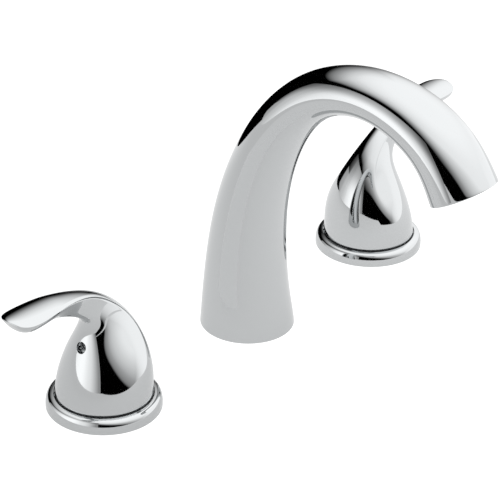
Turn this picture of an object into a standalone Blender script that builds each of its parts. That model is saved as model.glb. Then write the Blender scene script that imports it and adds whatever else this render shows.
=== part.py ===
"""Roman tub faucet: a high arched spout between two lever handles, on a tub deck.

The part is modelled in metres, +Z up. The deck plane is z = 0 and the origin is the centre of
the hole that the spout's shank comes up through. The spout reaches towards -Y, where the bather
sits; the hot valve stands at -X and the cold valve at +X, each on its own vertical axis.
"""

import math

import bmesh
import bpy
import numpy as np
from mathutils import Matrix, Vector

# Layout on the deck: the valves stand a little behind the spout's centre
handle_spacing = 0.254
valve_setback = 0.0031
hot_rest_turn = math.radians(-0.6)
cold_rest_turn = math.radians(-1.8)

# Clearances that every piece shares
seat_gap = 0.0003
cut_overrun = 0.002
merge_distance = 0.000001
bevel_small = 0.0004

# Handle: a domed skirt that sweeps over into a leaf-shaped lever
skirt_radius = 0.0286
skirt_edge_height = 0.0094
handle_height = 0.0881
lever_reach = 0.0756
lever_half_width = 0.0163
handle_wall = 0.0024
screw_height = 0.0463
screw_eye_radius = 0.0034
hub_headroom = 0.002

# Escutcheon: the round ring that the handle turns on
escutcheon_radius = 0.0339
escutcheon_height = 0.0089
escutcheon_edge_height = 0.0012
escutcheon_wall = 0.0018
foot_rim_wall = 0.0014
escutcheon_shelf = 0.0012
ledge_drop = 0.002
collar_height = 0.0026
collar_wall = 0.0026
gasket_thickness = 0.001
gasket_width_share = 0.22
glide_ring_width = 0.003

# End valve: a brass body with a quarter-turn ceramic cartridge
body_radius = 0.0142
body_height = 0.026
body_bore_radius = 0.0108
body_floor = 0.006
inlet_radius = 0.004
outlet_port_radius = 0.0018
deck_nut_thickness = 0.006
deck_nut_flats = 0.0355
washer_thickness = 0.0014
washer_width = 0.0055
bonnet_wall = 0.002
bonnet_skirt = 0.005
bonnet_roof = 0.0035
seal_thickness = 0.0015
seal_width = 0.002
disc_thickness = 0.0025
disc_radius = 0.0082
disc_port_radius = 0.0019
stem_radius = 0.0046
stem_flange_thickness = 0.0025
stem_above_screw = 0.0077
spline_length = 0.013
spline_depth = 0.0008
o_ring_radius = 0.0007
o_ring_groove_depth = 2 * o_ring_radius
adapter_wall = 0.0028
adapter_roof = 0.001
adapter_waist_depth = 0.0009
set_screw_radius = 0.0024
set_screw_length = 0.0075
set_screw_key_radius = 0.0012
set_screw_key_share = 0.4
set_screw_recess = 0.0026

# Spout: a hollow arch that narrows to its crown and widens to an oval mouth
spout_height = 0.1946
spout_reach = 0.1521
spout_base_radius = 0.0288
spout_wall = 0.0024
shank_radius = 0.0105
shank_bore_radius = 0.0078
shank_height = 0.044
spout_nut_flats = 0.032
spout_nut_thickness = 0.007
hub_flange_thickness = 0.008
hub_wall = 0.003
hub_nose_radius = 0.0088
hub_nose_length = 0.008
spout_screw_recess = 0.0035
waterway_radius = 0.0068
waterway_wall = 0.0012
straightener_radius = 0.0112
straightener_thickness = 0.005
straightener_slot = 0.0013
straightener_rib = 0.0009
straightener_rim = 0.0014
outlet_recess = 0.0025
outlet_collar_length = 0.012
collar_web = 0.003

# Facets
spout_sides = 28
handle_sides = 24
hollow_sides = 18
turned_sides = 16
small_sides = 10
o_ring_sides = 5
escutcheon_sides = 24
line_samples = 400


def material(name, color, roughness, metallic):
    """A Principled material named for its piece."""
    made = bpy.data.materials.new(name)
    made.use_nodes = True
    shader = made.node_tree.nodes["Principled BSDF"]
    shader.inputs["Base Color"].default_value = (*color, 1.0)
    shader.inputs["Roughness"].default_value = roughness
    shader.inputs["Metallic"].default_value = metallic
    made.diffuse_color = (*color, 1.0)
    return made


FINISHES = {
    "chrome": ((0.62, 0.63, 0.64), 0.05, 1.0),
    "brass": ((0.72, 0.52, 0.22), 0.28, 1.0),
    "steel": ((0.45, 0.45, 0.46), 0.35, 1.0),
    "rubber": ((0.02, 0.02, 0.02), 0.75, 0.0),
    "ceramic": ((0.86, 0.86, 0.84), 0.2, 0.0),
    "plastic": ((0.80, 0.80, 0.78), 0.4, 0.0),
}


def flow(rows, shares_along):
    """A smooth curve (uniform cubic B-spline) that starts at the first row and ends at the last.

    Each row is one control station, and each share from 0 to 1 gives one point on the curve.
    """
    rows = np.array(rows, float)
    rows = np.vstack([2 * rows[0] - rows[1], rows, 2 * rows[-1] - rows[-2]])
    spans = len(rows) - 3
    points = []
    for share in shares_along:
        first = min(int(share * spans), spans - 1)
        t = share * spans - first
        weights = np.array(
            [(1 - t) ** 3, 3 * t**3 - 6 * t**2 + 4, -3 * t**3 + 3 * t**2 + 3 * t + 1, t**3]
        )
        points.append(weights @ rows[first : first + 4] / 6)
    return np.array(points)


def rounded(corners, steps=3):
    """The points of a closed outline of (radius, height, fillet) corners, with its fillets."""
    points = []
    for index, (across, up, fillet) in enumerate(corners):
        here = Vector((across, up))
        back = Vector(corners[index - 1][:2]) - here
        ahead = Vector(corners[(index + 1) % len(corners)][:2]) - here
        if fillet == 0:
            points.append(here)
            continue
        half = back.angle(ahead) / 2
        reach = min(fillet / math.tan(half), back.length / 2, ahead.length / 2)
        fillet = reach * math.tan(half)
        centre = here + (back.normalized() + ahead.normalized()).normalized() * (
            fillet / math.sin(half)
        )
        start = here + back.normalized() * reach - centre
        end = here + ahead.normalized() * reach - centre
        whole = start.angle(end)
        for step in range(steps + 1):
            t = step / steps
            arm = start * math.sin((1 - t) * whole) + end * math.sin(t * whole)
            points.append(centre + arm / math.sin(whole))
    return [tuple(point) for point in points]


def finish_mesh(bm, name, sharp_angle=math.radians(32)):
    """Turns a closed bmesh into a mesh with outward faces, smooth except at its real edges."""
    bmesh.ops.remove_doubles(bm, verts=bm.verts, dist=merge_distance)
    bmesh.ops.dissolve_degenerate(bm, edges=bm.edges, dist=merge_distance)
    bmesh.ops.recalc_face_normals(bm, faces=bm.faces)
    mesh = bpy.data.meshes.new(name)
    bm.to_mesh(mesh)
    bm.free()
    mesh.shade_smooth()
    mesh.set_sharp_from_angle(angle=sharp_angle)
    return mesh


def turned(name, outline, sides):
    """Spins a closed outline of (radius, height) points about Z."""
    bm = bmesh.new()
    verts = [bm.verts.new((across, 0, up)) for across, up in outline]
    edges = []
    for index, vert in enumerate(verts):
        following = verts[(index + 1) % len(verts)]
        if vert.co.x > 0 or following.co.x > 0:
            edges.append(bm.edges.new((vert, following)))
    bmesh.ops.spin(
        bm,
        geom=verts + edges,
        cent=(0, 0, 0),
        axis=(0, 0, 1),
        angle=2 * math.pi,
        steps=sides,
        use_merge=True,
    )
    return finish_mesh(bm, name)


def ring(name, inner, outer, low, high, fillet, sides):
    """A flat ring with its four edges broken by a small fillet."""
    corners = [(inner, low), (outer, low), (outer, high), (inner, high)]
    return turned(name, rounded([(*corner, fillet) for corner in corners], 1), sides)


def lofted(name, rings):
    """A solid skin through rings of equal count, with a flat face over each end."""
    bm = bmesh.new()
    loops = [[bm.verts.new(point) for point in points] for points in rings]
    count = len(loops[0])
    for near, far in zip(loops, loops[1:]):
        for index in range(count):
            following = (index + 1) % count
            bm.faces.new((near[index], near[following], far[following], far[index]))
    bm.faces.new(reversed(loops[0]))
    bm.faces.new(loops[-1])
    return finish_mesh(bm, name)


def prism(name, points, low, high):
    """An outline of (x, y) points pushed up from low to high."""
    bm = bmesh.new()
    face = bm.faces.new([bm.verts.new((x, y, low)) for x, y in points])
    pushed = bmesh.ops.extrude_face_region(bm, geom=[face])
    top = [item for item in pushed["geom"] if isinstance(item, bmesh.types.BMVert)]
    bmesh.ops.translate(bm, verts=top, vec=(0, 0, high - low))
    return finish_mesh(bm, name)


def moved(mesh, matrix):
    """The same mesh after a move or a turn, for a cutter or a copy that lies another way."""
    copy = mesh.copy()
    copy.transform(matrix)
    return copy


def combine(mesh, others, operation):
    """Cuts, joins or trims a mesh by others with Boolean modifiers and returns the result."""
    body = bpy.data.objects.new(mesh.name, mesh)
    bpy.context.scene.collection.objects.link(body)
    helpers = []
    for other in others:
        helper = bpy.data.objects.new(other.name, other)
        helper.hide_render = True
        helper.display_type = "WIRE"
        bpy.context.scene.collection.objects.link(helper)
        modifier = body.modifiers.new(other.name, "BOOLEAN")
        modifier.operation = operation
        modifier.object = helper
        helpers.append(helper)
    bpy.context.view_layer.update()
    graph = bpy.context.evaluated_depsgraph_get()
    result = bpy.data.meshes.new_from_object(body.evaluated_get(graph))
    for helper in [body, *helpers]:
        bpy.data.objects.remove(helper)
    bm = bmesh.new()
    bm.from_mesh(result)
    bpy.data.meshes.remove(result)
    return finish_mesh(bm, mesh.name)


def hexagon(flats):
    """The corners of a hexagon that is this wide across its flats."""
    reach = flats / math.sqrt(3)
    turns = [math.tau * step / 6 for step in range(6)]
    return [(reach * math.cos(turn), reach * math.sin(turn)) for turn in turns]


def hex_nut(name, flats, bore, low, high):
    """A hexagonal nut with a round bore and its corners turned down at both faces."""
    corner = flats / math.sqrt(3)
    waist = flats / 2
    fall = (corner - waist) / 2
    barrel = rounded(
        [
            (0, low, 0),
            (waist, low, 0),
            (corner, low + fall, 0),
            (corner, high - fall, 0),
            (waist, high, 0),
            (0, high, 0),
        ]
    )
    blank = prism(name, hexagon(flats), low, high)
    blank = combine(blank, [turned(name + " barrel", barrel, turned_sides)], "INTERSECT")
    hole = [(0, low - cut_overrun), (bore, low - cut_overrun)]
    hole += [(bore, high + cut_overrun), (0, high + cut_overrun)]
    return combine(blank, [turned(name + " bore", hole, turned_sides)], "DIFFERENCE")


def star(radius, depth, teeth=6):
    """The outline of a spline: trapezoid teeth round a shaft."""
    tooth_shares = (0, 0.18, 0.5, 0.68)
    height_shares = (1, 1, 0, 0)
    points = []
    for tooth in range(teeth):
        for along, height in zip(tooth_shares, height_shares):
            turn = math.tau * (tooth + along) / teeth
            reach = radius - depth + depth * height
            points.append((reach * math.cos(turn), reach * math.sin(turn)))
    return points


# Heights that stack up from the deck inside each handle
stem_top_height = screw_height + stem_above_screw
foot_seat = gasket_thickness + seat_gap
ledge_height = skirt_edge_height - ledge_drop
deck_nut_foot = washer_thickness + seat_gap
deck_nut_top = deck_nut_foot + deck_nut_thickness
web_foot = deck_nut_top + 2 * seat_gap
web_top = web_foot + escutcheon_wall
seal_foot = body_floor + seat_gap
fixed_disc_foot = seal_foot + seal_thickness + seat_gap
moving_disc_foot = fixed_disc_foot + disc_thickness + seat_gap
stem_foot = moving_disc_foot + disc_thickness + seat_gap
stem_flange_top = stem_foot + stem_flange_thickness
cartridge_roof = stem_flange_top + seat_gap
cartridge_top = body_height
bonnet_foot = body_height - bonnet_skirt
bonnet_seat = body_height + seat_gap
bonnet_top = bonnet_seat + bonnet_roof
hub_foot = bonnet_top + hub_headroom
adapter_foot = hub_foot
adapter_top = stem_top_height + seat_gap + adapter_roof
deck_nut_corner = deck_nut_flats / math.sqrt(3)
riser_inner = deck_nut_corner + 2 * seat_gap
riser_outer = riser_inner + escutcheon_wall
adapter_radius = stem_radius + seat_gap + adapter_wall
handle_bore_radius = adapter_radius + seat_gap
tap_radius = set_screw_radius + seat_gap

# The rim's outline from its widest line up to the lip, as shares of that width and height
rim_out_shares = (1, 0.968, 0.809, 0.553, 0.213, 0)
rim_up_shares = (0, 0.117, 0.325, 0.506, 0.766, 1)

# Handle stations. The first five climb the dome, the last four run out along the lever.
# Each gives the back or top point, the front or under point, the half width and how far up
# the section its widest line lies: 0.5 is round, and near 1 is a flat top with a crisp edge.
dome_out_shares = ((-1, 1), (-1, 0.92), (-0.986, 0.682), (-0.902, 0.486), (-0.493, 0.755))
dome_up_shares = ((0, 0), (0.076, 0.172), (0.197, 0.445), (0.413, 0.649), (0.684, 0.754))
dome_width_shares = (1, 0.997, 0.892, 0.559, 0.297)
lever_out_shares = ((0.128, 0.515), (0.523, 0.754), (0.857, 0.909), (1, 0.956))
lever_up_shares = ((0.916, 0.845), (0.995, 0.881), (0.977, 0.881), (0.999, 0.942))
lever_width_shares = (0.31, 0.613, 0.779, 1)
ridge_shares = (0.5, 0.5, 0.6, 0.75, 0.87, 0.87, 0.9, 0.93, 0.95)
tip_round_share = 0.78
body_rings = 19
tip_rings = 5


def handle_stations():
    """Control rows in real sizes: back x and z, front x and z, half width, ridge share."""
    rise = handle_height - skirt_edge_height
    rows = []
    for out, up, width in zip(dome_out_shares, dome_up_shares, dome_width_shares):
        rows.append([out[0] * skirt_radius, up[0], out[1] * skirt_radius, up[1]])
        rows[-1].append(width * skirt_radius)
    for out, up, width in zip(lever_out_shares, lever_up_shares, lever_width_shares):
        rows.append([out[0] * lever_reach, up[0], out[1] * lever_reach, up[1]])
        rows[-1].append(width * lever_half_width)
    for row, ridge in zip(rows, ridge_shares):
        row[1] = skirt_edge_height + row[1] * rise
        row[3] = skirt_edge_height + row[3] * rise
        row.append(ridge)
    return rows


def handle_rings(sides=handle_sides):
    """The rings of the handle's skin, from the skirt's round edge to the lever's tip.

    A section is half an ellipse below its widest line. Above the line it fades from the other
    half of that ellipse, on the dome, to a low crown that meets the line at an edge, on the
    lever. Near the tip the width follows a quarter circle, which rounds the leaf off.
    """
    plain = [step / body_rings * tip_round_share for step in range(body_rings)]
    closing = [math.sin(math.pi / 2 * step / tip_rings) for step in range(tip_rings + 1)]
    along = plain + [tip_round_share + (1 - tip_round_share) * share for share in closing]
    rings = []
    for share, row in zip(along, flow(handle_stations(), along)):
        back_x, back_z, front_x, front_z, width, ridge = row
        past = max(0, (share - tip_round_share) / (1 - tip_round_share))
        width *= math.sqrt(max(0, 1 - past * past))
        middle = Vector(((back_x + front_x) / 2, 0, (back_z + front_z) / 2))
        arm = Vector(((back_x - front_x) / 2, 0, (back_z - front_z) / 2))
        crispness = min(max(2 * ridge - 1, 0), 1)
        points = []
        for side in range(sides):
            turn = math.tau * side / sides
            lift = math.cos(turn)
            if lift >= 0:
                crown = (1 - crispness) * lift + crispness * lift * lift
                height = 2 * ridge - 1 + 2 * (1 - ridge) * crown
            else:
                height = 2 * ridge - 1 + 2 * ridge * lift
            points.append(middle + arm * height + Vector((0, width * math.sin(turn), 0)))
        rings.append(points)
    return rings


def handle_front_reach(height):
    """How far the handle's front stands from its axis at a height below the neck."""
    climbing = [step / line_samples for step in range(line_samples // 3)]
    rows = flow(handle_stations(), climbing)
    return float(np.interp(height, rows[:, 3], rows[:, 2]))


def handle_mesh():
    """The chrome casting: dome and lever, cored from below, with the hub and the screw's eye."""
    skin = lofted("handle", handle_rings())
    heights = [
        skirt_edge_height + share * (hub_foot - skirt_edge_height) for share in (0, 0.35, 0.7, 1)
    ]
    reaches = [handle_front_reach(height) - handle_wall for height in heights]
    core = [(0, skirt_edge_height - cut_overrun), (reaches[0], skirt_edge_height - cut_overrun)]
    core += list(zip(reaches, heights))
    core += [(handle_bore_radius, hub_foot), (handle_bore_radius, adapter_top + seat_gap)]
    core += [(0, adapter_top + seat_gap)]
    eye_floor = handle_front_reach(screw_height) - set_screw_recess
    eye = [(0, 0), (tap_radius, 0), (tap_radius, eye_floor), (screw_eye_radius, eye_floor)]
    eye += [(screw_eye_radius, skirt_radius + cut_overrun), (0, skirt_radius + cut_overrun)]
    lying = Matrix.Translation((0, 0, screw_height)) @ Matrix.Rotation(math.pi / 2, 4, "Y")
    cutters = [
        turned("handle core", core, turned_sides),
        moved(turned("screw eye", eye, small_sides), lying),
    ]
    return combine(skin, cutters, "DIFFERENCE")


def upright_screw(name, tip, end):
    """A socket set screw that stands on its point, before it is laid on its side."""
    point = set_screw_radius / 2
    outline = [(0, tip), (point, tip), (set_screw_radius, tip + point), (set_screw_radius, end)]
    outline += [(0, end)]
    socket_floor = end - set_screw_key_share * (end - tip)
    key = prism("key", hexagon(2 * set_screw_key_radius), socket_floor, end + cut_overrun)
    return combine(turned(name, outline, small_sides), [key], "DIFFERENCE")


def set_screw_mesh():
    """The handle's set screw, lying along +X with its point towards the adapter's waist."""
    tip = adapter_radius - adapter_waist_depth + seat_gap
    return moved(
        upright_screw("set screw", tip, tip + set_screw_length),
        Matrix.Translation((0, 0, screw_height)) @ Matrix.Rotation(math.pi / 2, 4, "Y"),
    )


def escutcheon_mesh():
    """A turned ring: rolled rim, ledge under the skirt, and a threaded collar on the body."""
    lip = skirt_radius + 2 * seat_gap
    inner_wall = escutcheon_radius - foot_rim_wall - escutcheon_wall
    outline = [(escutcheon_radius, seat_gap, 0)]
    for out, up in zip(rim_out_shares, rim_up_shares):
        across = lip + (escutcheon_radius - lip) * out
        rise = (escutcheon_height - escutcheon_edge_height) * up
        outline.append((across, escutcheon_edge_height + rise, 0))
    outline += [
        (lip, ledge_height, 0),
        (riser_outer, ledge_height, 0),
        (riser_inner, web_top, 0),
        (body_radius + seat_gap + collar_wall, web_top, 0),
        (body_radius + seat_gap + collar_wall, web_top + collar_height, 0),
        (body_radius + seat_gap, web_top + collar_height, 0),
        (body_radius + seat_gap, web_foot, 0),
        (riser_inner, web_foot, 0),
        (riser_inner, ledge_height - escutcheon_wall, 0),
        (lip - escutcheon_shelf, ledge_height - escutcheon_wall, 0),
        (inner_wall, foot_seat + escutcheon_wall, 0),
        (inner_wall, foot_seat, 0),
        (escutcheon_radius - foot_rim_wall, foot_seat, 0),
        (escutcheon_radius - foot_rim_wall, seat_gap, 0),
    ]
    return turned("escutcheon", rounded(outline), escutcheon_sides)


def glide_ring_mesh():
    """The low plastic ring that the handle's skirt turns on."""
    outer = skirt_radius - bevel_small
    return ring(
        "glide ring",
        outer - glide_ring_width,
        outer,
        ledge_height + seat_gap,
        skirt_edge_height - seat_gap,
        0,
        turned_sides,
    )


def valve_body_mesh():
    """The brass body: a cup for the cartridge, with an inlet and an outlet in its floor."""
    outline = [
        (inlet_radius, 0, 0),
        (body_radius, 0, 0),
        (body_radius, body_height, bevel_small),
        (body_bore_radius, body_height, bevel_small),
        (body_bore_radius, body_floor, 0),
        (inlet_radius, body_floor, 0),
    ]
    cup = turned("valve body", rounded(outline, 1), turned_sides)
    port = [(0, -cut_overrun), (outlet_port_radius, -cut_overrun)]
    port += [(outlet_port_radius, body_floor + cut_overrun), (0, body_floor + cut_overrun)]
    port_place = (body_bore_radius + inlet_radius + seal_width) / 2
    cutter = turned("outlet", port, small_sides)
    return combine(cup, [moved(cutter, Matrix.Translation((-port_place, 0, 0)))], "DIFFERENCE")


def disc_mesh(name, low):
    """A ceramic disc with two ports that open or close as the upper one turns."""
    high = low + disc_thickness
    corners = [(0, low), (disc_radius, low), (disc_radius, high), (0, high)]
    disc = turned(name, corners, turned_sides)
    port = [(0, low - cut_overrun), (disc_port_radius, low - cut_overrun)]
    port += [(disc_port_radius, high + cut_overrun), (0, high + cut_overrun)]
    cutter = turned("port", port, small_sides)
    ports = [moved(cutter, Matrix.Translation((0, side * disc_radius / 2, 0))) for side in (1, -1)]
    return combine(disc, ports, "DIFFERENCE")


def cartridge_mesh():
    """The cartridge's housing: a tube round the discs, with side windows for the water."""
    inner = disc_radius + seat_gap
    outer = body_bore_radius - seat_gap
    bore = stem_radius + 2 * seat_gap
    outline = [
        (inner, fixed_disc_foot, 0),
        (outer, fixed_disc_foot, 0),
        (outer, cartridge_top, bevel_small),
        (bore, cartridge_top, bevel_small),
        (bore, cartridge_roof, 0),
        (inner, cartridge_roof, 0),
    ]
    tube = turned("cartridge housing", rounded(outline, 1), turned_sides)
    window = prism(
        "window",
        [
            (-outer - cut_overrun, -disc_port_radius),
            (outer + cut_overrun, -disc_port_radius),
            (outer + cut_overrun, disc_port_radius),
            (-outer - cut_overrun, disc_port_radius),
        ],
        stem_foot,
        stem_flange_top,
    )
    return combine(tube, [window], "DIFFERENCE")


def stem_mesh():
    """The brass stem: a driving flange, a grooved shaft and a splined head."""
    groove = (cartridge_roof + cartridge_top) / 2
    floor = stem_radius - o_ring_groove_depth
    flange = disc_radius - seat_gap
    spline_foot = stem_top_height - spline_length
    outline = [
        (0, stem_foot, 0),
        (flange, stem_foot, 0),
        (flange, stem_flange_top, 0),
        (stem_radius, stem_flange_top, 0),
        (stem_radius, groove - o_ring_radius - seat_gap, 0),
        (floor, groove - o_ring_radius - seat_gap, 0),
        (floor, groove + o_ring_radius + seat_gap, 0),
        (stem_radius, groove + o_ring_radius + seat_gap, 0),
        (stem_radius, spline_foot, 0),
        (0, spline_foot, 0),
    ]
    shaft = turned("stem", rounded(outline), small_sides)
    head = prism(
        "spline",
        star(stem_radius - bevel_small, spline_depth),
        spline_foot - bevel_small,
        stem_top_height,
    )
    return combine(shaft, [head], "UNION")


def o_ring(name, shaft, height, sides):
    """A round-section seal that lies in a shaft's groove and reaches the bore round it."""
    middle = shaft - o_ring_radius + seat_gap / 2
    turns = [math.tau * step / o_ring_sides for step in range(o_ring_sides)]
    outline = [
        (middle + o_ring_radius * math.cos(turn), height + o_ring_radius * math.sin(turn))
        for turn in turns
    ]
    return turned(name, outline, sides)


def adapter_mesh():
    """The splined sleeve between stem and handle, with a waist that the set screw bites."""
    waist = adapter_radius - adapter_waist_depth
    half = set_screw_radius + bevel_small
    outline = [
        (0, adapter_foot, 0),
        (adapter_radius, adapter_foot, 0),
        (adapter_radius, screw_height - half - adapter_waist_depth, 0),
        (waist, screw_height - half, 0),
        (waist, screw_height + half, 0),
        (adapter_radius, screw_height + half + adapter_waist_depth, 0),
        (adapter_radius, adapter_top, 0),
        (0, adapter_top, 0),
    ]
    sleeve = turned("spline adapter", rounded(outline), turned_sides)
    spline_foot = stem_top_height - spline_length
    shaft = stem_radius + seat_gap
    hole = [(0, adapter_foot - cut_overrun), (shaft, adapter_foot - cut_overrun)]
    hole += [(shaft, spline_foot + seat_gap), (0, spline_foot + seat_gap)]
    spline = prism(
        "spline bore",
        star(stem_radius - bevel_small + seat_gap, spline_depth),
        spline_foot - seat_gap,
        stem_top_height + seat_gap,
    )
    return combine(sleeve, [turned("shaft bore", hole, small_sides), spline], "DIFFERENCE")


def bonnet_mesh():
    """The bonnet nut: a hexagonal cap that screws over the body and holds the cartridge."""
    flats = 2 * (body_radius + seat_gap + bonnet_wall)
    cap = hex_nut("bonnet nut", flats, stem_radius + 3 * seat_gap, bonnet_foot, bonnet_top)
    thread = body_radius + seat_gap
    hollow = [(0, bonnet_foot - cut_overrun), (thread, bonnet_foot - cut_overrun)]
    hollow += [(thread, bonnet_seat), (0, bonnet_seat)]
    return combine(cap, [turned("bonnet hollow", hollow, turned_sides)], "DIFFERENCE")


# Spout stations from the deck to the mouth: how far forward the centre line lies, how high,
# the half depth of the section, and how many times wider than deep it is.
spout_forward_shares = (0, -0.014, -0.006, 0.1, 0.303, 0.613, 0.9, 1)
spout_up_shares = (0, 0.1325, 0.4023, 0.678, 0.8845, 0.9504, 0.86, 0.72)
spout_depth_shares = (1, 0.868, 0.722, 0.597, 0.485, 0.493, 0.584, 0.676)
spout_widening_shares = (1, 1.07, 1.12, 1.13, 1.23, 1.34, 1.23, 1.09)
shaft_share = 0.3
shaft_rings = 4
arch_rings = 18
waterway_rings = 6
collar_rings = 2
spout_foot = seat_gap


def spout_stations():
    rows = []
    for forward, up, depth, widening in zip(
        spout_forward_shares, spout_up_shares, spout_depth_shares, spout_widening_shares
    ):
        height = spout_foot + up * (spout_height - spout_foot)
        rows.append(
            [-forward * spout_reach, height, depth * spout_base_radius, widening]
        )
    return rows


def spout_line(shares):
    """Centre points, directions and half sizes of the spout's sections; its foot lies level."""
    rows = flow(spout_stations(), shares)
    ahead = flow(spout_stations(), [min(share + 1 / line_samples, 1) for share in shares])
    behind = flow(spout_stations(), [max(share - 1 / line_samples, 0) for share in shares])
    sections = []
    for share, row, near, far in zip(shares, rows, behind, ahead):
        direction = Vector((0, far[0] - near[0], far[1] - near[1])).normalized()
        if share == 0:
            direction = Vector((0, 0, 1))
        sections.append((Vector((0, row[0], row[1])), direction, row[2], row[2] * row[3]))
    return sections


def oval(centre, direction, depth, width, sides):
    """An ellipse across the spout: depth in the plane of the arch, width along X."""
    across = Vector((1, 0, 0))
    up = direction.cross(across)
    turns = [math.tau * side / sides for side in range(sides)]
    return [
        centre + up * (depth * math.cos(turn)) + across * (width * math.sin(turn))
        for turn in turns
    ]


def spout_half_depth(height):
    """The spout's half depth at a height on its upright shaft, and its centre's place."""
    upright = [step / line_samples for step in range(line_samples // 3)]
    rows = flow(spout_stations(), upright)
    depth = float(np.interp(height, rows[:, 1], rows[:, 2]))
    return depth, float(np.interp(height, rows[:, 1], rows[:, 0]))


# Heights and places that stack up inside the spout's foot and mouth
spout_nut_top = washer_thickness + seat_gap + spout_nut_thickness
hub_base = spout_nut_top + 3 * seat_gap
hub_flange_top = hub_base + hub_flange_thickness
hub_bore = shank_radius + seat_gap
hub_roof = shank_height + seat_gap
hub_shoulder = hub_roof + hub_wall
hub_top = hub_shoulder + hub_nose_length
hub_radius = hub_bore + hub_wall
spout_screw_height = (hub_base + hub_flange_top) / 2


def spout_mesh():
    """The chrome shell: one smooth arch, open at its foot and at its mouth."""
    shares = [step / shaft_rings * shaft_share for step in range(shaft_rings)]
    for step in range(arch_rings + 1):
        shares.append(shaft_share + (1 - shaft_share) * step / arch_rings)
    outer = [oval(*section, spout_sides) for section in spout_line(shares)]
    hollow = []
    for centre, direction, depth, width in spout_line(shares):
        hollow.append((centre, direction, depth - spout_wall, width - spout_wall))
    first, last = hollow[0], hollow[-1]
    hollow.insert(0, (first[0] - first[1] * cut_overrun, *first[1:]))
    hollow.append((last[0] + last[1] * cut_overrun, *last[1:]))
    inner = [oval(*section, hollow_sides) for section in hollow]
    eye = [(0, 0), (tap_radius, 0)]
    eye += [(tap_radius, 2 * spout_base_radius), (0, 2 * spout_base_radius)]
    backwards = Matrix.Rotation(-math.pi / 2, 4, "X")
    lying = Matrix.Translation((0, 0, spout_screw_height)) @ backwards
    seat_radius = spout_base_radius - foot_rim_wall
    seat = [(0, -cut_overrun), (seat_radius, -cut_overrun), (seat_radius, foot_seat)]
    seat.append((0, foot_seat))
    cutters = [
        lofted("spout hollow", inner),
        turned("gasket seat", seat, spout_sides),
        moved(turned("spout screw eye", eye, small_sides), lying),
    ]
    return combine(lofted("spout", outer), cutters, "DIFFERENCE")


def shank_mesh():
    """The brass shank that comes up through the deck, with two grooves for its seals."""
    floor = shank_radius - o_ring_groove_depth
    half = o_ring_radius + seat_gap
    outline = [(shank_bore_radius, 0, 0), (shank_radius, 0, 0)]
    for height in shank_groove_heights():
        outline += [
            (shank_radius, height - half, 0),
            (floor, height - half, 0),
            (floor, height + half, 0),
            (shank_radius, height + half, 0),
        ]
    outline += [(shank_radius, shank_height, bevel_small), (shank_bore_radius, shank_height, 0)]
    return turned("spout shank", rounded(outline, 1), turned_sides)


groove_shares = (0.66, 0.84)


def shank_groove_heights():
    return [share * shank_height for share in groove_shares]


def hub_flange_radius():
    """The hub's flange just clears the hollow of the spout's foot."""
    depth, lean = spout_half_depth(hub_flange_top)
    room = (depth - spout_wall) * math.cos(math.pi / hollow_sides)
    return room - abs(lean) - 2 * seat_gap


def hub_mesh():
    """The hub that is fixed in the spout's foot, slides over the shank and feeds the waterway."""
    flange = hub_flange_radius()
    outline = [
        (hub_bore, hub_base, 0),
        (flange, hub_base, bevel_small),
        (flange, hub_flange_top, bevel_small),
        (hub_radius, hub_flange_top, 0),
        (hub_radius, hub_shoulder, bevel_small),
        (hub_nose_radius, hub_shoulder, 0),
        (hub_nose_radius, hub_top, bevel_small),
        (waterway_radius + seat_gap, hub_top, 0),
        (waterway_radius + seat_gap, hub_shoulder, 0),
        (waterway_radius - waterway_wall, hub_shoulder, 0),
        (waterway_radius - waterway_wall, hub_roof, 0),
        (hub_bore, hub_roof, 0),
    ]
    blank = turned("spout hub", rounded(outline, 1), turned_sides)
    tap = [(0, 0), (tap_radius, 0), (tap_radius, spout_base_radius), (0, spout_base_radius)]
    backwards = Matrix.Rotation(-math.pi / 2, 4, "X")
    lying = Matrix.Translation((0, 0, spout_screw_height)) @ backwards
    return combine(blank, [moved(turned("hub tap", tap, small_sides), lying)], "DIFFERENCE")


def spout_screw_mesh():
    """The socket set screw at the back of the foot, which holds the hub on the shank."""
    end = hub_flange_radius() - spout_screw_recess
    screw = upright_screw("spout set screw", shank_radius + seat_gap, end)
    backwards = Matrix.Rotation(-math.pi / 2, 4, "X")
    return moved(screw, Matrix.Translation((0, 0, spout_screw_height)) @ backwards)


def along_spout(distance_from_mouth):
    """The share along the centre line that lies this far up from the mouth."""
    shares = [step / line_samples for step in range(line_samples + 1)]
    centres = [section[0] for section in spout_line(shares)]
    travelled = 0
    for index in range(len(centres) - 1, 0, -1):
        travelled += (centres[index] - centres[index - 1]).length
        if travelled >= distance_from_mouth:
            return shares[index - 1]
    return 0


def mouth_matrix(distance):
    """A frame on the centre line this far inside the mouth, with +Z pointing out of it."""
    centre, direction, _, _ = spout_line([1])[0]
    across = Vector((1, 0, 0))
    turn = Matrix((across, direction.cross(across), direction)).transposed().to_4x4()
    return Matrix.Translation(centre - direction * distance) @ turn


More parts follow.
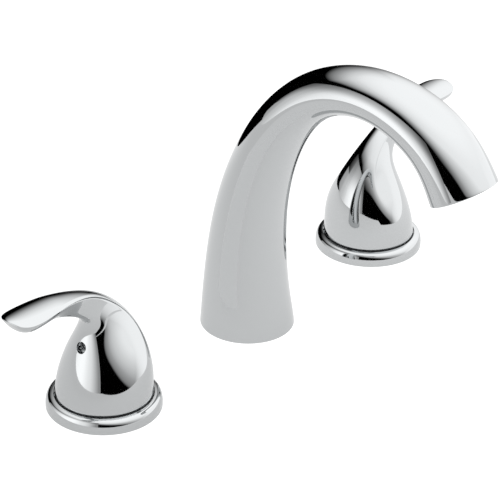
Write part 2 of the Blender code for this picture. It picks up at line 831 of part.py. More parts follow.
def outlet_collar_mesh():
    """The oval plug in the mouth: it joins the waterway to the straightener's seat."""
    start = along_spout(outlet_recess + outlet_collar_length)
    end = along_spout(outlet_recess)
    shares = [start + (end - start) * step / collar_rings for step in range(collar_rings + 1)]
    ease = spout_wall + 2 * seat_gap
    rings = []
    for centre, direction, depth, width in spout_line(shares):
        rings.append(oval(centre, direction, depth - ease, width - ease, hollow_sides))
    plug = lofted("outlet collar", rings)
    seat = straightener_radius + seat_gap
    seat_floor = -straightener_thickness - seat_gap
    tube = waterway_radius + seat_gap
    passage = waterway_radius - waterway_wall
    bore = [
        (0, -2 * outlet_collar_length),
        (tube, -2 * outlet_collar_length),
        (tube, seat_floor - collar_web),
        (passage, seat_floor - collar_web),
        (passage, seat_floor),
        (seat, seat_floor),
        (seat, cut_overrun),
        (0, cut_overrun),
    ]
    cutter = moved(turned("outlet bore", bore, turned_sides), mouth_matrix(outlet_recess))
    return combine(plug, [cutter], "DIFFERENCE")


def straightener_mesh():
    """The stream straightener: a low drum whose slots break the water into a smooth sheet."""
    outline = [(0, -straightener_thickness), (straightener_radius, -straightener_thickness)]
    outline += [(straightener_radius, 0), (0, 0)]
    drum = turned("stream straightener", outline, turned_sides)
    pitch = straightener_slot + straightener_rib
    field = straightener_radius - straightener_rim
    count = int(field / pitch - 1 / 2)
    slots = []
    for step in range(-count, count + 1):
        near = abs(step) * pitch + straightener_slot / 2
        half = math.sqrt(field**2 - near**2)
        low_x = step * pitch - straightener_slot / 2
        high_x = low_x + straightener_slot
        corners = [(low_x, -half), (high_x, -half), (high_x, half), (low_x, half)]
        low = -straightener_thickness - cut_overrun
        slots.append(prism("slot", corners, low, cut_overrun))
    drum = combine(drum, slots, "DIFFERENCE")
    return moved(drum, mouth_matrix(outlet_recess))


def waterway_mesh():
    """The brass tube from the hub's nose to the mouth, straight where it enters each of them."""
    table = [step / line_samples for step in range(line_samples // 2)]
    heights = [section[0].z for section in spout_line(table)]
    start = float(np.interp(hub_top + hub_nose_length, heights, table))
    end = along_spout(outlet_recess + 2 * outlet_collar_length)
    shares = [start + (end - start) * step / waterway_rings for step in range(waterway_rings + 1)]
    line = [section[:2] for section in spout_line(shares)]
    for height in (hub_top + seat_gap, hub_shoulder + seat_gap):
        line.insert(0, (Vector((0, 0, height)), Vector((0, 0, 1))))
    mouth, out, _, _ = spout_line([1])[0]
    deep = outlet_recess + outlet_collar_length + collar_web
    shallow = outlet_recess + straightener_thickness + collar_web + 3 * seat_gap
    line += [(mouth - out * distance, out) for distance in (deep, shallow)]
    bore_line = [(line[0][0] - line[0][1] * cut_overrun, line[0][1]), *line]
    bore_line.append((line[-1][0] + out * cut_overrun, out))
    skins = []
    for stations, radius in ((line, waterway_radius), (bore_line, waterway_radius - waterway_wall)):
        rings = [oval(*station, radius, radius, small_sides) for station in stations]
        skins.append(lofted("waterway", rings))
    return combine(skins[0], [skins[1]], "DIFFERENCE")


def place(name, mesh, finish, parent):
    """Makes one named object from a mesh and hangs it on its station's empty."""
    if not mesh.materials:
        mesh.materials.append(material(mesh.name + " " + finish, *FINISHES[finish]))
    piece = bpy.data.objects.new(name, mesh)
    bpy.context.scene.collection.objects.link(piece)
    piece.parent = parent
    return piece


def empty(name, place_at, turn=0, parent=None):
    """An empty that carries a station or marks a joint's axis."""
    made = bpy.data.objects.new(name, None)
    made.location = place_at
    made.rotation_euler = (0, 0, turn)
    made.parent = parent
    bpy.context.scene.collection.objects.link(made)
    return made


def gasket_mesh(name, foot_radius):
    """The flat rubber ring inside the thin rim of an escutcheon or of the spout's foot."""
    outer = foot_radius - foot_rim_wall - 2 * seat_gap
    inner = outer - gasket_width_share * foot_radius
    return ring(name, inner, outer, 0, gasket_thickness, 0, turned_sides)


def end_valve_meshes():
    """Every mesh of one handle station, by piece name: (mesh, finish, turns with the handle)."""
    washer_outer = body_radius + seat_gap + washer_width
    groove = (cartridge_roof + cartridge_top) / 2
    return {
        "deck_gasket": (
            gasket_mesh("deck gasket", escutcheon_radius),
            "rubber",
            False,
        ),
        "deck_washer": (
            ring(
                "deck washer",
                body_radius + seat_gap,
                washer_outer,
                0,
                washer_thickness,
                0,
                turned_sides,
            ),
            "steel",
            False,
        ),
        "deck_nut": (
            hex_nut(
                "deck nut", deck_nut_flats, body_radius + seat_gap, deck_nut_foot, deck_nut_top
            ),
            "brass",
            False,
        ),
        "escutcheon": (escutcheon_mesh(), "chrome", False),
        "glide_ring": (glide_ring_mesh(), "plastic", False),
        "valve_body": (valve_body_mesh(), "brass", False),
        "seal_ring": (
            ring(
                "seal ring",
                inlet_radius,
                inlet_radius + seal_width,
                seal_foot,
                seal_foot + seal_thickness,
                0,
                small_sides,
            ),
            "rubber",
            False,
        ),
        "fixed_disc": (disc_mesh("fixed disc", fixed_disc_foot), "ceramic", False),
        "cartridge_housing": (cartridge_mesh(), "plastic", False),
        "bonnet_nut": (bonnet_mesh(), "brass", False),
        "moving_disc": (disc_mesh("moving disc", moving_disc_foot), "ceramic", True),
        "stem": (stem_mesh(), "brass", True),
        "stem_o_ring": (
            o_ring("stem o-ring", stem_radius, groove, small_sides),
            "rubber",
            True,
        ),
        "spline_adapter": (adapter_mesh(), "plastic", True),
        "handle": (handle_mesh(), "chrome", True),
        "set_screw": (set_screw_mesh(), "steel", True),
    }


def build_end_valves():
    """Both handle stations share their meshes; each lever points away from the spout."""
    meshes = end_valve_meshes()
    half = handle_spacing / 2
    for side, centre, out, rest in (
        ("hot", -half, math.pi, hot_rest_turn),
        ("cold", half, 0, cold_rest_turn),
    ):
        station = empty(side + "_station", (centre, valve_setback, 0), out)
        axis = empty(side + "_handle_axis", (0, 0, 0), rest, station)
        for name, (mesh, finish, turns) in meshes.items():
            place(f"{side}_{name}", mesh, finish, axis if turns else station)


def build_spout():
    """The spout's station, with all that carries it and all that it carries."""
    station = empty("spout_station", (0, 0, 0))
    washer_outer = shank_radius + seat_gap + washer_width
    gasket = gasket_mesh("spout gasket", spout_base_radius)
    washer = ring(
        "spout washer", shank_radius + seat_gap, washer_outer, 0, washer_thickness, 0, turned_sides
    )
    nut_foot = washer_thickness + seat_gap
    nut = hex_nut("spout nut", spout_nut_flats, shank_radius + seat_gap, nut_foot, spout_nut_top)
    place("spout_gasket", gasket, "rubber", station)
    place("spout_deck_washer", washer, "steel", station)
    place("spout_deck_nut", nut, "brass", station)
    place("spout_shank", shank_mesh(), "brass", station)
    for name, height in zip(("lower_o_ring", "upper_o_ring"), shank_groove_heights()):
        seal = o_ring(name.replace("_", " "), shank_radius, height, turned_sides)
        place("shank_" + name, seal, "rubber", station)
    place("spout_hub", hub_mesh(), "brass", station)
    place("spout_set_screw", spout_screw_mesh(), "steel", station)
    place("waterway_tube", waterway_mesh(), "brass", station)
    place("outlet_collar", outlet_collar_mesh(), "plastic", station)
    place("stream_straightener", straightener_mesh(), "plastic", station)
    place("spout", spout_mesh(), "chrome", station)


def main():
    for leftover in list(bpy.data.objects):
        bpy.data.objects.remove(leftover)
    build_end_valves()
    build_spout()
    bpy.context.view_layer.update()


main()
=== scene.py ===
# %% [markdown]
# # Roman tub faucet in polished chrome
# The set stands on a tub deck: a high arched spout between two lever handles. Its hidden brass,
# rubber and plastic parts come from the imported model. The three kinds of chrome shell that the eye
# meets first are modelled again here with smooth subdivision skins, because polished metal shows
# every facet of a coarse mesh in its reflections.

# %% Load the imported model
import math

import bmesh
import bpy
from mathutils import Matrix, Vector


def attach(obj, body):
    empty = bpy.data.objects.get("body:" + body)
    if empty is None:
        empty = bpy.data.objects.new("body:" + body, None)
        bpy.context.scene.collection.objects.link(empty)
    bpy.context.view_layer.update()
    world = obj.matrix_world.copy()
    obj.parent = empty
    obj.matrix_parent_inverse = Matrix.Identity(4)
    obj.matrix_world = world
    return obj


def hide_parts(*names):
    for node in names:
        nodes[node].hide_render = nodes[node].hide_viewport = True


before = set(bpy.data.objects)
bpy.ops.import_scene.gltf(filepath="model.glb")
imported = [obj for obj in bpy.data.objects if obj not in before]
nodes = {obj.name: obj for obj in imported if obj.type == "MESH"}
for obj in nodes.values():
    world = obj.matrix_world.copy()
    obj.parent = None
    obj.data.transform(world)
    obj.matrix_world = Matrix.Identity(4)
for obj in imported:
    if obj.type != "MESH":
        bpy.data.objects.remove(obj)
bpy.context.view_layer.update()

# %% [markdown]
# Each shell follows the same curve as its solid: a uniform cubic B-spline through a few rows of
# sizes. A subdivision surface pulls its cage inwards a little, by a sixth of the cage's bend, so
# the cage is first pushed out by that much and the finished skin lies where the solid's does.

# %% The curve that the shells follow
MM = 0.001
RING_SIDES = 28
# a ring's cage is drawn this many times larger than the round skin that it makes
RING_PUSH = 3 / (2 + math.cos(math.tau / RING_SIDES))


def flow(rows, shares):
    """Points on a uniform cubic B-spline from the first row to the last."""
    rows = [Vector(row) for row in rows]
    rows = [2 * rows[0] - rows[1], *rows, 2 * rows[-1] - rows[-2]]
    spans = len(rows) - 3
    points = []
    for share in shares:
        first = min(int(share * spans), spans - 1)
        t = share * spans - first
        weights = ((1 - t) ** 3, 3 * t**3 - 6 * t**2 + 4, -3 * t**3 + 3 * t**2 + 3 * t + 1, t**3)
        point = sum((rows[first + i] * weights[i] for i in range(4)), rows[0] * 0)
        points.append(point / 6)
    return points


def pushed_out(points):
    """The cage rows whose subdivision skin passes through these points."""
    cage = [points[0]]
    for before, here, after in zip(points, points[1:], points[2:]):
        cage.append(here - (before - 2 * here + after) / 6)
    return cage + [points[-1]]


print("a ring of", RING_SIDES, "points is drawn", round(RING_PUSH, 4), "times its size")

# %% [markdown]
# A ring is pushed along the shell by hand: it is extruded in place, turned back level, widened or
# narrowed, turned to its new lean and moved. The rotate operator turns the other way when there is
# no window, so the angle's sign is swapped in one place.

# %% Moves of a selected ring
def level_turn(angle, axis, centre):
    """Turns the selection about one global axis through a point."""
    bpy.ops.transform.rotate(value=-angle, orient_axis=axis, center_override=centre)


def stretch(factors, centre):
    """Scales the selection along the global axes about a point."""
    bpy.ops.transform.resize(value=factors, center_override=centre)


def shift(offset):
    """Moves the selection."""
    bpy.ops.transform.translate(value=offset)


def new_ring(name):
    """Adds an open circle of one metre on the deck plane and leaves it selected in edit mode."""
    bpy.ops.object.select_all(action="DESELECT")
    bpy.ops.mesh.primitive_circle_add(vertices=RING_SIDES, radius=1, fill_type="NOTHING")
    bpy.context.object.name = name
    bpy.ops.object.mode_set(mode="EDIT")
    return bpy.context.object


def push_ring():
    """Extrudes the selected ring in place; the new ring is left selected."""
    bpy.ops.mesh.extrude_region_move(TRANSFORM_OT_translate={"value": (0, 0, 0)})


def pick(obj, indices):
    """Selects only these vertices of the object that is in edit mode."""
    mesh = bmesh.from_edit_mesh(obj.data)
    for part in (mesh.verts, mesh.edges, mesh.faces):
        for item in part:
            item.select = False
    mesh.verts.ensure_lookup_table()
    for index in indices:
        mesh.verts[index].select = True
    mesh.select_flush_mode()
    bmesh.update_edit_mesh(obj.data)


def face_outwards():
    """Turns all faces of the object in edit mode outwards."""
    bpy.ops.mesh.select_all(action="SELECT")
    bpy.ops.mesh.normals_make_consistent(inside=False)


# %% [markdown]
# A shell is finished with modifiers that are applied at once, so that what is seen is what the
# mesh holds. Then it takes its solid's place: the solid is hidden and the shell rides on the same
# body, so a handle turns with its stem. It gets the solid's chrome finish further down.

# %% Modifiers and the solid's place
SMOOTH_LEVELS = 2
SHARP_ANGLE = math.radians(32)


def choose(obj):
    """Selects this object alone and makes it the active one."""
    bpy.ops.object.select_all(action="DESELECT")
    obj.select_set(True)
    bpy.context.view_layer.objects.active = obj


def add_modifier(kind, **settings):
    """Adds a modifier to the active object, sets it and applies it."""
    modifier = bpy.context.object.modifiers.new(kind.lower(), kind)
    for name, value in settings.items():
        setattr(modifier, name, value)
    bpy.ops.object.modifier_apply(modifier=modifier.name)


def skin_smoothly():
    """Subdivides the active object's cage into its smooth skin."""
    add_modifier("SUBSURF", levels=SMOOTH_LEVELS, render_levels=SMOOTH_LEVELS)


def finish_shell(obj, body, node):
    """Smooths a finished shell, hands it to its body and lets it stand for its solid."""
    choose(obj)
    bpy.ops.object.transform_apply(location=True, rotation=True, scale=True)
    bpy.ops.object.shade_smooth_by_angle(angle=SHARP_ANGLE)
    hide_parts(node)
    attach(obj, body)
    low = [round(min(v.co[i] for v in obj.data.vertices) / MM, 1) for i in range(3)]
    high = [round(max(v.co[i] for v in obj.data.vertices) / MM, 1) for i in range(3)]
    print(obj.name, "faces:", len(obj.data.polygons), "from", low, "to", high)


# %% [markdown]
# The spout of a real faucet is cast hollow in brass, then ground and plated. Its sections are
# ovals that are wider than deep in the arch, and nearly round again at the mouth. It could be a
# bevelled curve, but a curve's section can't change from round to oval and back, so a ring is
# pushed from the foot to the mouth instead. The wall is then given its thickness, the edges of
# foot and mouth are broken, and the skin is subdivided.

# %% Sizes of the spout, in millimetres
# centre line behind the foot's middle, so less than nought is in front of it, height, half depth,
# and how many times wider than deep
SPOUT_ROWS = (
    (0, 0.3, 28.8, 1),
    (2.13, 26.04, 25, 1.07),
    (0.91, 78.47, 20.79, 1.12),
    (-15.21, 132.04, 17.19, 1.13),
    (-46.09, 172.16, 13.87, 1.23),
    (-93.24, 184.96, 13.9, 1.34),
    (-136.89, 167.4, 16.82, 1.23),
    (-152.1, 140.2, 19.47, 1.09),
)
SPOUT_RINGS = 26
print("the spout's middle reaches", -SPOUT_ROWS[-1][0], "mm forward in", SPOUT_RINGS, "rings")


# %% The rings from foot to mouth
def spout_rings():
    """Centre, lean, half depth and half width of each ring of the cage."""
    shares = [step / SPOUT_RINGS for step in range(SPOUT_RINGS + 1)]
    cage = pushed_out(flow(SPOUT_ROWS, shares))
    rings = []
    for index, (behind, height, half_depth, wider) in enumerate(cage):
        before, after = cage[max(index - 1, 0)], cage[min(index + 1, SPOUT_RINGS)]
        lean = 0 if index == 0 else math.atan2(before[0] - after[0], after[1] - before[1])
        depth = half_depth * RING_PUSH * MM
        rings.append((Vector((0, behind, height)) * MM, lean, depth, depth * wider))
    return rings


rings = spout_rings()
spout = new_ring("spout_shell")
centre, lean, depth, width = rings[0]
stretch((width, depth, 1), (0, 0, 0))
shift(centre)
for next_centre, next_lean, next_depth, next_width in rings[1:]:
    push_ring()
    level_turn(-lean, "X", centre)
    stretch((next_width / width, next_depth / depth, 1), centre)
    level_turn(next_lean, "X", centre)
    shift(next_centre - centre)
    centre, lean, depth, width = next_centre, next_lean, next_depth, next_width
face_outwards()
bpy.ops.object.mode_set(mode="OBJECT")
print("spout cage:", len(spout.data.vertices), "points")

# %% [markdown]
# The pushed rings are only the outside. The Solidify modifier gives them a wall inwards, which
# leaves the rims at foot and mouth a little slanted, so these are pressed flat. Cast edges are
# broken before plating: a narrow bevel does it, and it also keeps the skin from rounding them off.

# %% Wall, edges and skin
SPOUT_WALL = 2.4 * MM
EDGE_BREAK = 0.4 * MM
BREAK_SEGMENTS = 2
RIM_ANGLE = math.radians(60)

add_modifier("SOLIDIFY", thickness=SPOUT_WALL, offset=-1, use_even_offset=True)
bpy.ops.object.mode_set(mode="EDIT")
outer = len(spout.data.vertices) // 2
# the wall's two rims come out slanted, so each is turned level, pressed flat and turned back
for first, middle, turn in ((0, rings[0][0], 0), (outer - RING_SIDES, centre, lean)):
    rim = range(first, first + RING_SIDES)
    pick(spout, [*rim, *(outer + index for index in rim)])
    level_turn(-turn, "X", middle)
    stretch((1, 1, 0), middle)
    level_turn(turn, "X", middle)
bpy.ops.mesh.select_mode(type="EDGE")
bpy.ops.mesh.select_all(action="DESELECT")
bpy.ops.mesh.edges_select_sharp(sharpness=RIM_ANGLE)
bpy.ops.mesh.bevel(offset=EDGE_BREAK, segments=BREAK_SEGMENTS, affect="EDGES")
bpy.ops.mesh.select_mode(type="VERT")
bpy.ops.object.mode_set(mode="OBJECT")
skin_smoothly()
print("spout skin:", len(spout.data.polygons), "faces")

# %% [markdown]
# The foot of the real spout is bored out a little to sit over its gasket, and drilled at the back
# for the set screw that holds it on its hub. Both could be drawn into the cage, but they would
# pull on the smooth skin around them, so they are cut from the finished skin, as a drill does it.

# %% Seat and screw hole
SPOUT_FOOT_RADIUS = 28.8 * MM
SEAT_RADIUS, SEAT_TOP, SEAT_SIDES = 27.4 * MM, 1.3 * MM, 112
SPOUT_HOLE_RADIUS, SPOUT_HOLE_HEIGHT, SPOUT_HOLE_SIDES = 2.7 * MM, 13.6 * MM, 40
CUT_OVERRUN = 2 * MM


def new_rod(sides, radius, low, high, name):
    """An upright rod between two heights, used as a cutter."""
    bpy.ops.object.select_all(action="DESELECT")
    bpy.ops.mesh.primitive_cylinder_add(
        vertices=sides, radius=radius, depth=high - low, location=(0, 0, (low + high) / 2)
    )
    rod = bpy.context.object
    rod.name = name
    return rod


def cut_away(obj, cutter):
    """Subtracts the cutter from the object and deletes it."""
    choose(obj)
    add_modifier("BOOLEAN", operation="DIFFERENCE", object=cutter, solver="EXACT")
    bpy.data.objects.remove(cutter)


cut_away(spout, new_rod(SEAT_SIDES, SEAT_RADIUS, -CUT_OVERRUN, SEAT_TOP, "spout_seat_cutter"))
drill = new_rod(SPOUT_HOLE_SIDES, SPOUT_HOLE_RADIUS, 0, 2 * SPOUT_FOOT_RADIUS, "spout_hole_cutter")
drill.rotation_euler.x = -math.pi / 2
drill.location = (0, SPOUT_FOOT_RADIUS, SPOUT_HOLE_HEIGHT)
cut_away(spout, drill)
finish_shell(spout, "deck_set", "spout")

# %% [markdown]
# The handle is one casting: a round skirt rises into a dome, and the dome's back sweeps over and
# out into a leaf-shaped lever with a low crown on top that meets its belly at a crisp edge. The
# same pushed ring makes it. On each ring the half below the widest line and the half above it are
# stretched apart from each other, which moves the widest line up until the upper half is only the
# low crown. The edge is an edge crease that grows along the handle.

# %% Sizes of the handle, in millimetres
# back or top point (out, up), front or under point (out, up), half width, share of the section
# that lies below its widest line, and how far the lever's top is crowned for its half width
HANDLE_ROWS = (
    (-28.6, 9.4, 28.6, 9.4, 28.6, 0.5, 0),
    (-28.6, 15.38, 26.31, 22.94, 28.51, 0.5, 0),
    (-28.2, 24.9, 19.5, 44.42, 25.51, 0.6, 0),
    (-25.8, 41.9, 13.9, 60.48, 15.99, 0.75, 0),
    (-14.1, 63.23, 21.59, 68.74, 8.49, 0.87, 0),
    (9.68, 81.49, 38.93, 75.9, 5.05, 0.87, 0.07),
    (39.54, 87.71, 57.0, 78.73, 9.99, 0.9, 0.34),
    (64.79, 86.29, 68.72, 78.73, 12.7, 0.93, 0.22),
    (75.6, 88.02, 72.27, 83.54, 16.3, 0.95, 0.18),
)
DOME_RINGS = 22
TIP_RINGS = 5
# the last rings close in on the tip from this share of the way
TIP_START = 0.78
print("the lever reaches", HANDLE_ROWS[-1][0], "mm out in", DOME_RINGS + TIP_RINGS, "steps")


# %% The rings from skirt to tip
def ring_shares():
    """How far along the handle each ring lies: even steps, then ever shorter ones at the tip."""
    even = [step / DOME_RINGS * TIP_START for step in range(DOME_RINGS)]
    closing = [math.sin(math.pi / 2 * step / TIP_RINGS) for step in range(TIP_RINGS + 1)]
    return even + [TIP_START + (1 - TIP_START) * share for share in closing]


def handle_rings():
    """Middle, lean, half length, half width, share below the widest line and crispness."""
    shares = ring_shares()
    rows = flow(HANDLE_ROWS, shares)
    # past the tip's start the half width closes in as a quarter of a circle
    for share, row in zip(shares, rows):
        past = max(0, (share - TIP_START) / (1 - TIP_START))
        row[4] *= math.sqrt(max(0, 1 - past * past))
    rings = []
    for row in pushed_out(rows):
        back_out, back_up, front_out, front_up, half_width, share_below, crowned = row
        back = Vector((back_out, 0, back_up)) * MM
        front = Vector((front_out, 0, front_up)) * MM
        reach = (back - front).length
        half_width = max(half_width, 0)
        crown = crowned * half_width * MM
        below = share_below * reach / (reach + crown)
        back += (back - front).normalized() * crown
        arm = (back - front) / 2
        crisp = min(max(2 * share_below - 1, 0), 1)
        width = half_width * MM * (1 + (RING_PUSH - 1) * (1 - crisp))
        lean = math.atan2(arm.z, -arm.x)
        rings.append(((back + front) / 2, lean, arm.length * RING_PUSH, width, below, crisp))
    return rings


handle_cage = handle_rings()
longest = max(2 * ring[2] for ring in handle_cage)
print("handle rings:", len(handle_cage), "the longest one", round(longest / MM, 1), "mm")

# %% [markdown]
# Every ring is a scaled copy of the one before it, so it is enough to say by how much each part of
# it grows. The lower half grows evenly. The upper half also changes its outline from round to a
# low arch, so its points are stretched in pairs, one on either side.

# %% Pushing the ring along the handle
# at the tip a ring closes up, but a scale of nought would never open again
LEAST_STRETCH = 0.0001
HALFWAY = RING_SIDES // 2


def crown_height(lift, crisp):
    """The upper half's outline: round on the dome, a low arch with a crisp edge on the lever."""
    return (1 - crisp) * lift + crisp * lift * lift


def reshape_halves(handle, first, widest, old, new):
    """Stretches the halves of a level ring apart from each other, about its widest line."""
    half, below, crisp = old
    next_half, next_below, next_crisp = new
    pick(handle, range(first + HALFWAY + 1, first + RING_SIDES))
    stretch((next_half * next_below / (half * below), 1, 1), widest)
    for step in range(1, RING_SIDES // 4 + 1):
        lift = math.sin(math.tau * step / RING_SIDES)
        ratio = crown_height(lift, next_crisp) / crown_height(lift, crisp)
        factor = ratio * next_half * (1 - next_below) / (half * (1 - below))
        pick(handle, (first + step, first + HALFWAY - step))
        stretch((factor, 1, 1), widest)


def handle_shell(name):
    """Pushes one ring from the skirt to the lever's tip; the lever points along +X."""
    handle = new_ring(name)
    middle, lean, half, width, below, crisp = handle_cage[0]
    stretch((half, width, 1), (0, 0, 0))
    shift(middle)
    for number, ring in enumerate(handle_cage[1:], 1):
        next_middle, next_lean, next_half, next_width, next_below, next_crisp = ring
        push_ring()
        first = number * RING_SIDES
        level_turn(-lean, "Y", middle)
        stretch((1, max(next_width / width, LEAST_STRETCH), 1), middle)
        aside = half * (2 * below - 1)
        widest = middle - Vector((aside, 0, 0))
        old, new = (half, below, crisp), (next_half, next_below, next_crisp)
        reshape_halves(handle, first, widest, old, new)
        pick(handle, range(first, first + RING_SIDES))
        shift(Vector((aside - next_half * (2 * next_below - 1), 0, 0)))
        level_turn(next_lean, "Y", middle)
        shift(next_middle - middle)
        middle, lean, half, width, below, crisp = ring
    return handle


hot_handle = handle_shell("hot_handle_shell")
print("handle cage:", len(bmesh.from_edit_mesh(hot_handle.data).verts), "points")

# %% [markdown]
# The last ring has no width, so its two sides are merged into the tip. The edge along the widest
# line gets its crease, the skin is subdivided, and the round foot is closed and broken.

# %% Crease, tip, skin and foot
LINE_CREASE = 1.2
TIP_MERGE = 0.002 * MM

mesh = bmesh.from_edit_mesh(hot_handle.data)
crease = mesh.edges.layers.float.new("crease_edge")
mesh.verts.ensure_lookup_table()
crispness = [crisp for *_, crisp in handle_cage]
for number in range(1, len(handle_cage)):
    for side in (0, HALFWAY):
        pair = [mesh.verts[(number - step) * RING_SIDES + side] for step in (0, 1)]
        edge = mesh.edges.get(pair)
        edge[crease] = min(1, LINE_CREASE * (crispness[number] + crispness[number - 1]) / 2)
bmesh.update_edit_mesh(hot_handle.data)
bpy.ops.mesh.select_all(action="SELECT")
bpy.ops.mesh.remove_doubles(threshold=TIP_MERGE)
face_outwards()
bpy.ops.object.mode_set(mode="OBJECT")
skin_smoothly()
bpy.ops.object.mode_set(mode="EDIT")
bpy.ops.mesh.select_all(action="DESELECT")
bpy.ops.mesh.select_mode(type="EDGE")
bpy.ops.mesh.select_non_manifold()
bpy.ops.mesh.edge_face_add()
bpy.ops.mesh.bevel(offset=EDGE_BREAK, segments=BREAK_SEGMENTS, affect="EDGES")
face_outwards()
bpy.ops.mesh.select_mode(type="VERT")
bpy.ops.object.mode_set(mode="OBJECT")
print("handle skin:", len(hot_handle.data.polygons), "faces")

# %% [markdown]
# A turned piece is made from its outline: one point is extruded from corner to corner, and the
# outline is spun about the upright axis. Stacked cylinders would need a boolean for every step.

# %% Outline and spin
SEAM_MERGE = 0.005 * MM


def spin_outline(outline, steps, name, closed=False):
    """Extrudes a point through an outline of (radius, height) in millimetres and spins it."""
    bpy.ops.object.select_all(action="DESELECT")
    bpy.ops.mesh.primitive_plane_add(size=MM)
    turned = bpy.context.object
    turned.name = name
    bpy.ops.object.mode_set(mode="EDIT")
    bpy.ops.mesh.merge(type="CENTER")
    shift(Vector((outline[0][0], 0, outline[0][1])) * MM)
    for before, after in zip(outline, outline[1:]):
        step = Vector((after[0] - before[0], 0, after[1] - before[1])) * MM
        bpy.ops.mesh.extrude_region_move(TRANSFORM_OT_translate={"value": step})
    if closed:
        pick(turned, (0, len(outline) - 1))
        bpy.ops.mesh.edge_face_add()
    bpy.ops.mesh.select_all(action="SELECT")
    bpy.ops.mesh.spin(steps=steps, angle=math.tau, center=(0, 0, 0), axis=(0, 0, 1))
    bpy.ops.mesh.select_all(action="SELECT")
    bpy.ops.mesh.remove_doubles(threshold=SEAM_MERGE)
    face_outwards()
    bpy.ops.object.mode_set(mode="OBJECT")
    return turned


# %% [markdown]
# The real casting is cored from below to save brass, bored to grip the spline adapter, and drilled
# under the lever for its set screw. Both cuts are turned shapes, so two spun outlines are
# subtracted from the skin.

# %% Core and screw hole of the handle
# radius and height of the core, from the skirt up to the bore that grips the spline adapter
CORE_OUTLINE = (
    (0, 7.4), (26.2, 7.4), (26.2, 9.4), (24.78, 17.24), (22.94, 25.08), (21.03, 31.8),
    (8, 31.8), (8, 55.6), (0, 55.6),
)
CORE_STEPS = 96
# radius and distance along the hole: the thread, then the wider eye at the surface
HOLE_OUTLINE = ((0, 0), (2.7, 0), (2.7, 16.2), (3.4, 16.2), (3.4, 30), (0, 30))
HOLE_STEPS = 48
SCREW_HEIGHT = 46.3 * MM

cut_away(hot_handle, spin_outline(CORE_OUTLINE, CORE_STEPS, "core_cutter"))
drill = spin_outline(HOLE_OUTLINE, HOLE_STEPS, "screw_hole_cutter")
drill.rotation_euler.y = math.pi / 2
drill.location.z = SCREW_HEIGHT
cut_away(hot_handle, drill)
print("cored handle:", len(hot_handle.data.polygons), "faces")

# %% [markdown]
# Both handles are the same casting. It is modelled once and copied, each copy is turned to where
# its lever points in the photograph, a degree or two from straight, and set over its own valve.

# %% Two handles on their stations
HALF_SPACING = 127 * MM
SETBACK = 3.1 * MM
HOT_TURN = math.radians(180 - 0.6)
COLD_TURN = math.radians(-1.8)

choose(hot_handle)
bpy.ops.object.duplicate()
cold_handle = bpy.context.object
cold_handle.name = "cold_handle_shell"
for handle, side, turn in ((hot_handle, -1, HOT_TURN), (cold_handle, 1, COLD_TURN)):
    handle.rotation_euler.z = turn
    handle.location = (side * HALF_SPACING, SETBACK, 0)
finish_shell(hot_handle, "hot_handle_body", "hot_handle")
finish_shell(cold_handle, "cold_handle_body", "cold_handle")

# %% [markdown]
# The ring under each handle is plated brass: an upright side, a round rim and a narrow ledge in to
# the skirt. Inside, where it doesn't show, it steps down to the ledge that the skirt turns over and
# to a threaded collar that screws down on the valve. The rim is a curve through a few rows, the
# rest is straight cuts, and the whole outline is closed and spun.

# %% Rings under the handles
# radius and height of the rim, from its foot up to the edge beside the skirt
RIM_ROWS = (
    (33.9, 1.2), (33.88, 2.8), (33.75, 4.2), (33.4, 5.6), (32.85, 6.9), (32.1, 7.8), (30.9, 8.45),
    (29.2, 8.75),
)
# the rest of the outline, inwards over the ledge and back under it
INNER_OUTLINE = (
    (29.2, 7.4), (22.9, 7.4), (21.1, 10.1), (17.1, 10.1), (17.1, 12.7), (14.5, 12.7),
    (14.5, 8.3), (21.1, 8.3), (21.1, 5.6), (28, 5.6), (30.7, 3.1), (30.7, 1.3), (32.5, 1.3),
    (32.5, 0.3), (33.9, 0.3),
)
RIM_STEPS = 30
RING_STEPS = 128
FINE_BREAK = 0.15 * MM
# only corners sharper than about forty degrees are broken
FINE_BREAK_ANGLE = 0.7

shares = [step / RIM_STEPS for step in range(RIM_STEPS + 1)]
rim = flow(pushed_out([Vector(row) for row in RIM_ROWS]), shares)
outline = [tuple(point) for point in rim] + list(INNER_OUTLINE)
ring_shells = []
for side, name in ((-1, "hot"), (1, "cold")):
    ring = spin_outline(outline, RING_STEPS, name + "_ring_shell", closed=True)
    ring.location = (side * HALF_SPACING, SETBACK, 0)
    add_modifier(
        "BEVEL",
        width=FINE_BREAK,
        segments=BREAK_SEGMENTS,
        limit_method="ANGLE",
        angle_limit=FINE_BREAK_ANGLE,
    )
    finish_shell(ring, "deck_set", name + "_escutcheon")
    ring_shells.append(ring)

# %% [markdown]
# Every finish is built from one small helper that adds a node, sets its constants on its own
# sockets and links what is a socket. Colours are written as on a paint card and turned to linear
# light by one function. Pattern sizes are real ones: one unit of the coordinates is a metre, so a
# scale of 90 is ninety features to the metre, one every eleven millimetres.

# %% Nodes and colours
def linear(code):
    """Turns a hex colour into linear light."""
    shares = [int(code[i : i + 2], 16) / 255 for i in (1, 3, 5)]
    light = [v / 12.92 if v <= 0.04045 else ((v + 0.055) / 1.055) ** 2.4 for v in shares]
    return (*light, 1)


def add(tree, kind, inputs=None, **settings):
    """Adds one node; inputs are constants, or sockets that are linked."""
    node = tree.nodes.new(kind)
    for name, value in settings.items():
        setattr(node, name, value)
    for name, value in (inputs or {}).items():
        if isinstance(value, bpy.types.NodeSocket):
            tree.links.new(value, node.inputs[name])
        else:
            node.inputs[name].default_value = value
    return node


def new_finish(name):
    """A named material with an empty tree, and the coordinates that its patterns lie on."""
    finish = bpy.data.materials.new(name)
    finish.use_nodes = True
    finish.node_tree.nodes.clear()
    place = add(finish.node_tree, "ShaderNodeTexCoord").outputs["Object"]
    return finish, finish.node_tree, place


